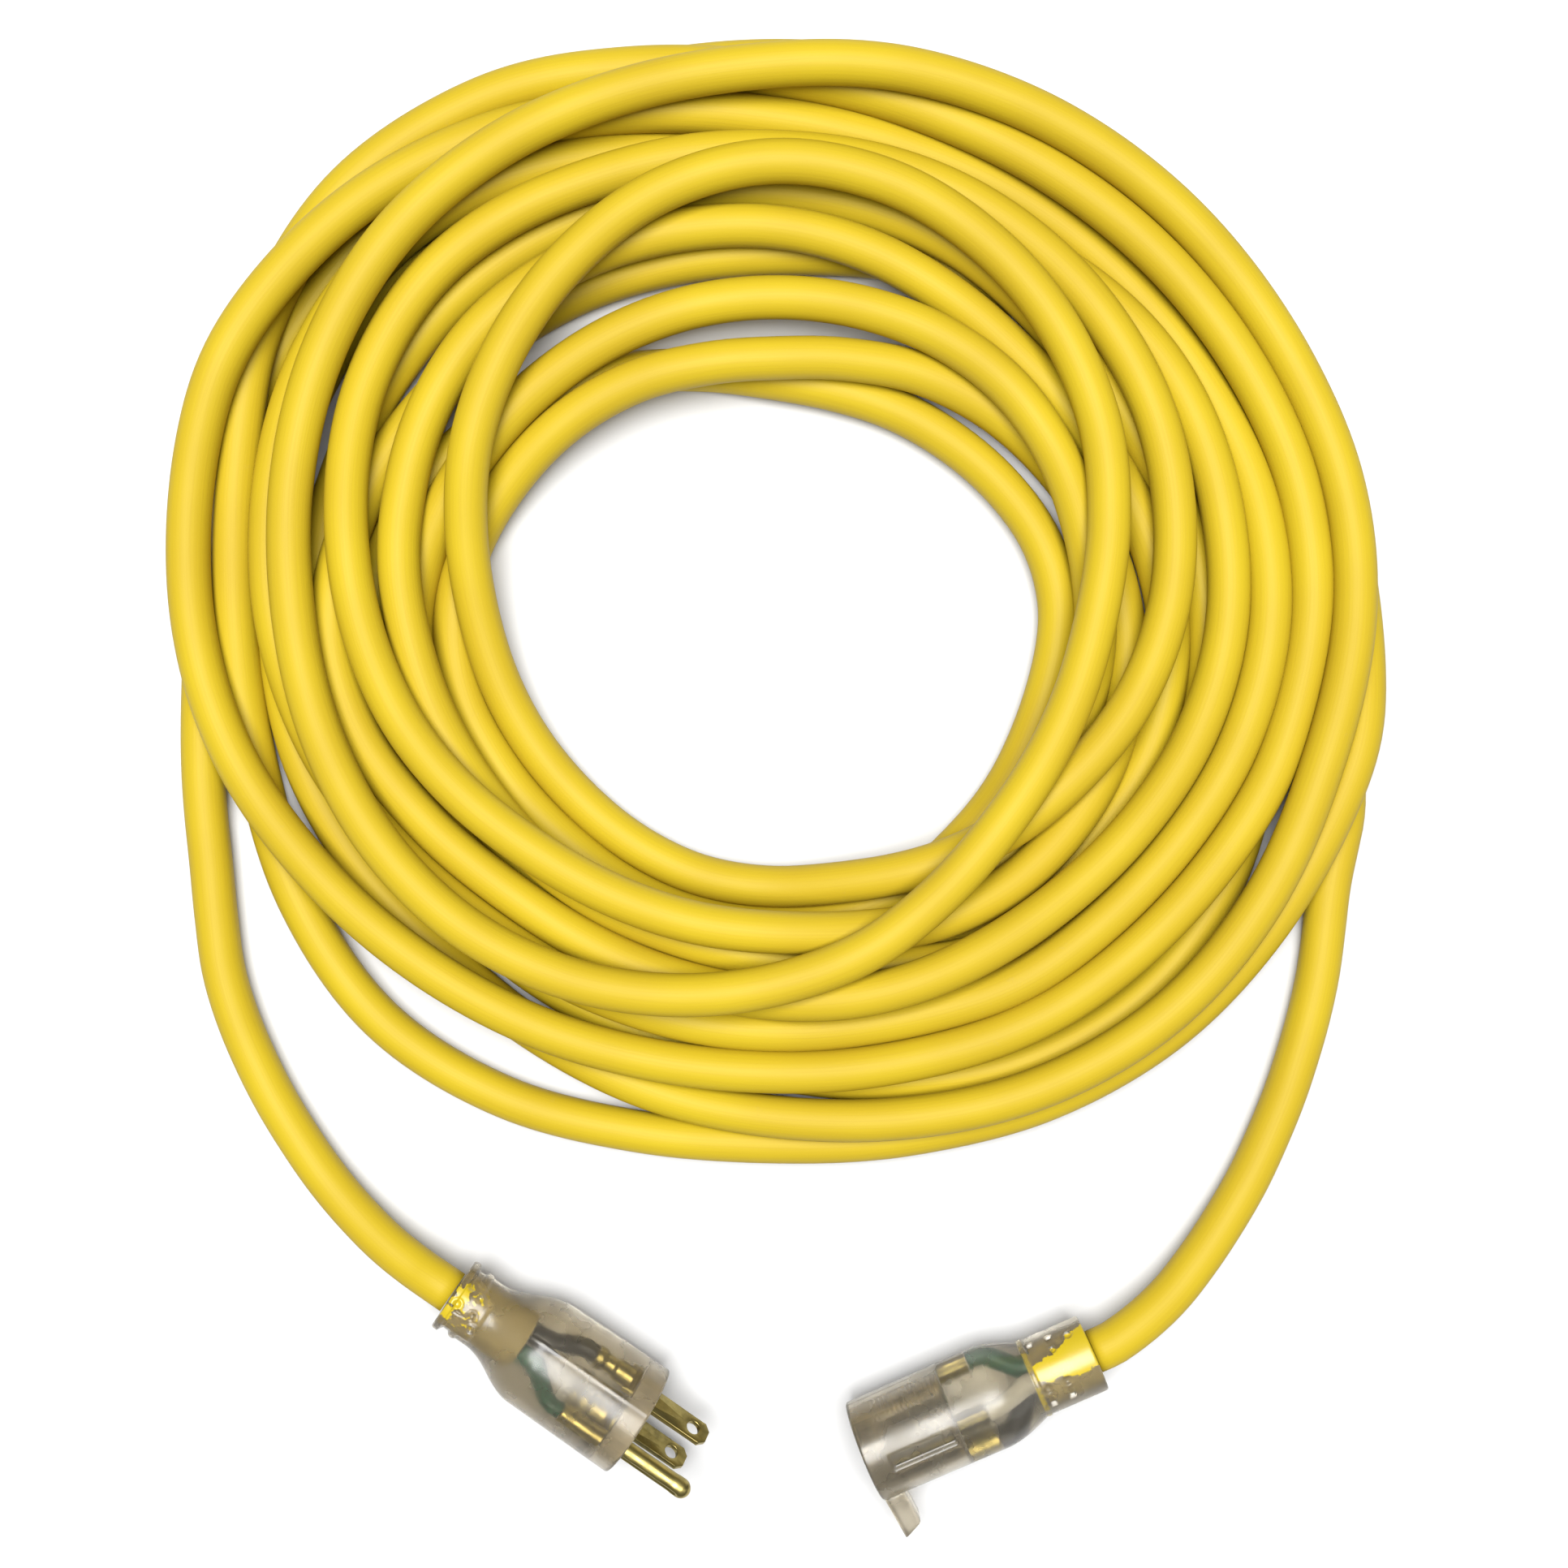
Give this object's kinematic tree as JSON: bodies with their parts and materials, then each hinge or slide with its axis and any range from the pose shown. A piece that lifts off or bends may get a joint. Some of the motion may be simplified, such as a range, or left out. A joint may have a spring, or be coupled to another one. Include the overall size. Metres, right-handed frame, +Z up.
{
  "type": "extension cord",
  "caption": "Coiled heavy-duty yellow extension cord with a clear moulded grounding plug and a clear moulded connector laid out in front.",
  "frame": {"origin": "centre of the whole laid-out outline, on the surface that the coil lies on", "axes": "+Z up from that surface, -Y from the coil towards the plug and connector, plug on the -X side"},
  "size_m": [0.3116, 0.3844, 0.033],
  "materials": {
    "cord_jacket": "smooth satin vinyl",
    "clear_pvc": "frosted clear vinyl",
    "bridge_pvc": "milky clear vinyl",
    "brass": "stamped, slightly dull",
    "copper": "bright stranded wire",
    "black_insulation": "satin",
    "white_insulation": "satin",
    "green_insulation": "satin"
  },
  "bodies": {
    "root": {"cord_coil": "cord_jacket", "cord_tail_plug": "cord_jacket", "cord_tail_connector": "cord_jacket", "plug_body": "clear_pvc", "plug_bridge": "bridge_pvc", "plug_hot_blade": "brass", "plug_neutral_blade": "brass", "plug_ground_pin": "brass", "plug_jacket_end": "cord_jacket", "plug_black_conductor": "black_insulation", "plug_white_conductor": "white_insulation", "plug_green_conductor": "green_insulation", "plug_black_copper": "copper", "plug_white_copper": "copper", "plug_green_copper": "copper", "connector_body": "clear_pvc", "connector_insert": "bridge_pvc", "connector_hot_contact": "brass", "connector_neutral_contact": "brass", "connector_ground_contact": "brass", "connector_jacket_end": "cord_jacket", "connector_black_conductor": "black_insulation", "connector_white_conductor": "white_insulation", "connector_green_conductor": "green_insulation", "connector_black_copper": "copper", "connector_white_copper": "copper", "connector_green_copper": "copper"}
  },
  "joints": []
}
